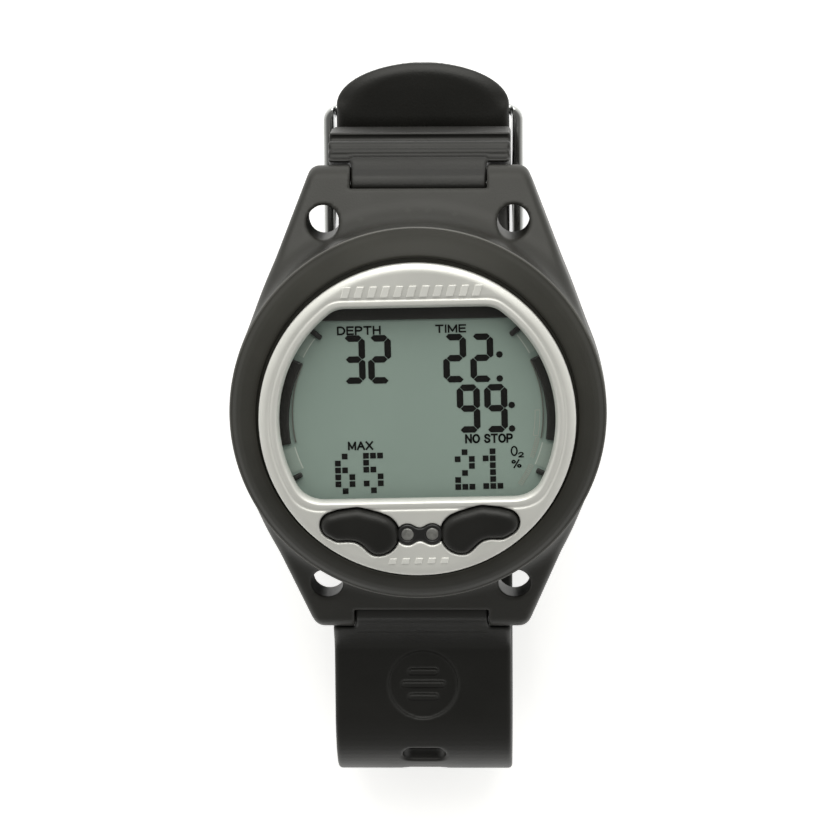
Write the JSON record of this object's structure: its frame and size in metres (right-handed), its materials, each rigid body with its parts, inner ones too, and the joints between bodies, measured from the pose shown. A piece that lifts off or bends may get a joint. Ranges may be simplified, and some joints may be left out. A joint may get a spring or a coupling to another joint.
{
  "type": "wrist dive computer",
  "caption": "Round wrist dive computer with sloped lugs, cord holes, silver face, wide display, kidney-shaped push pads and a buckled rubber strap.",
  "frame": {"origin": "centre of the flat case back", "axes": "+Z along the display normal, +Y towards 12 o'clock, +X to the diver's right"},
  "size_m": [0.064, 0.1264, 0.052],
  "materials": {
    "case_plastic": "satin, fine moulded grain",
    "bezel_plastic": "satin",
    "face_silver": "satin",
    "lens_clear": "polished",
    "black_rubber": "matte",
    "lcd_mask": "printed black",
    "lcd_grey": "reflective display glass",
    "white_plastic": "natural",
    "zebra_rubber": "matte",
    "board_green": "solder mask",
    "chip_black": "moulded",
    "tin_plate": "tinned",
    "inner_plastic": "glass filled",
    "steel": "stainless",
    "pad_rubber": "satin",
    "contact_steel": "turned",
    "gold_plate": "plated",
    "strap_rubber": "satin",
    "chrome": "polished",
    "seal_red": "matte"
  },
  "bodies": {
    "case": {"case_body": "case_plastic", "bezel_ring": "bezel_plastic", "face_plate": "face_silver", "lens": "lens_clear", "lens_gasket": "black_rubber", "lcd_mask": "lcd_mask", "lcd_glass": "lcd_grey", "light_guide": "white_plastic", "lcd_frame": "white_plastic", "zebra_strips": "zebra_rubber", "main_board": "board_green", "board_chips": "chip_black", "dome_switches": "tin_plate", "inner_chassis": "inner_plastic", "chassis_screws": "steel", "button_seals": "black_rubber", "contact_housing": "chip_black", "contact_pins": "contact_steel", "pressure_sensor": "steel", "sensor_oring": "black_rubber", "buzzer": "chip_black", "battery": "steel", "contact_positive": "gold_plate", "contact_negative": "gold_plate", "rear_cover": "case_plastic", "rear_gasket": "seal_red", "rear_screws": "steel", "spring_bar_top": "steel", "spring_bar_bottom": "steel"},
    "strap_long": {"strap_long": "strap_rubber"},
    "strap_link": {"strap_link": "strap_rubber"},
    "buckle": {"buckle_frame": "chrome", "buckle_bar": "chrome"},
    "tongue": {"buckle_tongue": "chrome"},
    "left_pad": {"left_button": "pad_rubber"},
    "right_pad": {"right_button": "pad_rubber"},
    "cap": {"battery_cap": "bezel_plastic", "battery_oring": "black_rubber"}
  },
  "joints": [
    {"name": "strap_swing", "type": "hinge", "parent": "case", "child": "strap_long", "pos_m": [0, -0.0371, 0.0016], "axis": [-1, 0, 0], "range_deg": [0, 60]},
    {"name": "link_swing", "type": "hinge", "parent": "case", "child": "strap_link", "pos_m": [0, 0.0371, 0.0016], "axis": [1, 0, 0], "range_deg": [0, 38]},
    {"name": "buckle_rock", "type": "hinge", "parent": "strap_long", "child": "buckle", "pos_m": [0, 0.033, -0.0257], "axis": [1, 0, 0], "range_deg": [-1.5, 1.5]},
    {"name": "tongue_lift", "type": "hinge", "parent": "buckle", "child": "tongue", "pos_m": [0, 0.033, -0.0257], "axis": [1, 0, 0], "range_deg": [0, 2]},
    {"name": "left_pad_press", "type": "slide", "parent": "case", "child": "left_pad", "axis": [0, 0, -1], "range_m": [0, 0.0008], "stiffness_N_per_m": 800, "springref_m": -0.0005},
    {"name": "right_pad_press", "type": "slide", "parent": "case", "child": "right_pad", "axis": [0, 0, -1], "range_m": [0, 0.0008], "stiffness_N_per_m": 800, "springref_m": -0.0005},
    {"name": "battery_cap_turn", "type": "hinge", "parent": "case", "child": "cap", "pos_m": [0, -0.0122, 0.0012], "axis": [0, 0, 1], "range_deg": [0, 60]}
  ],
  "couplings": [
    {"joint": "link_swing", "follows": "strap_swing", "ratio": 0.6}
  ]
}
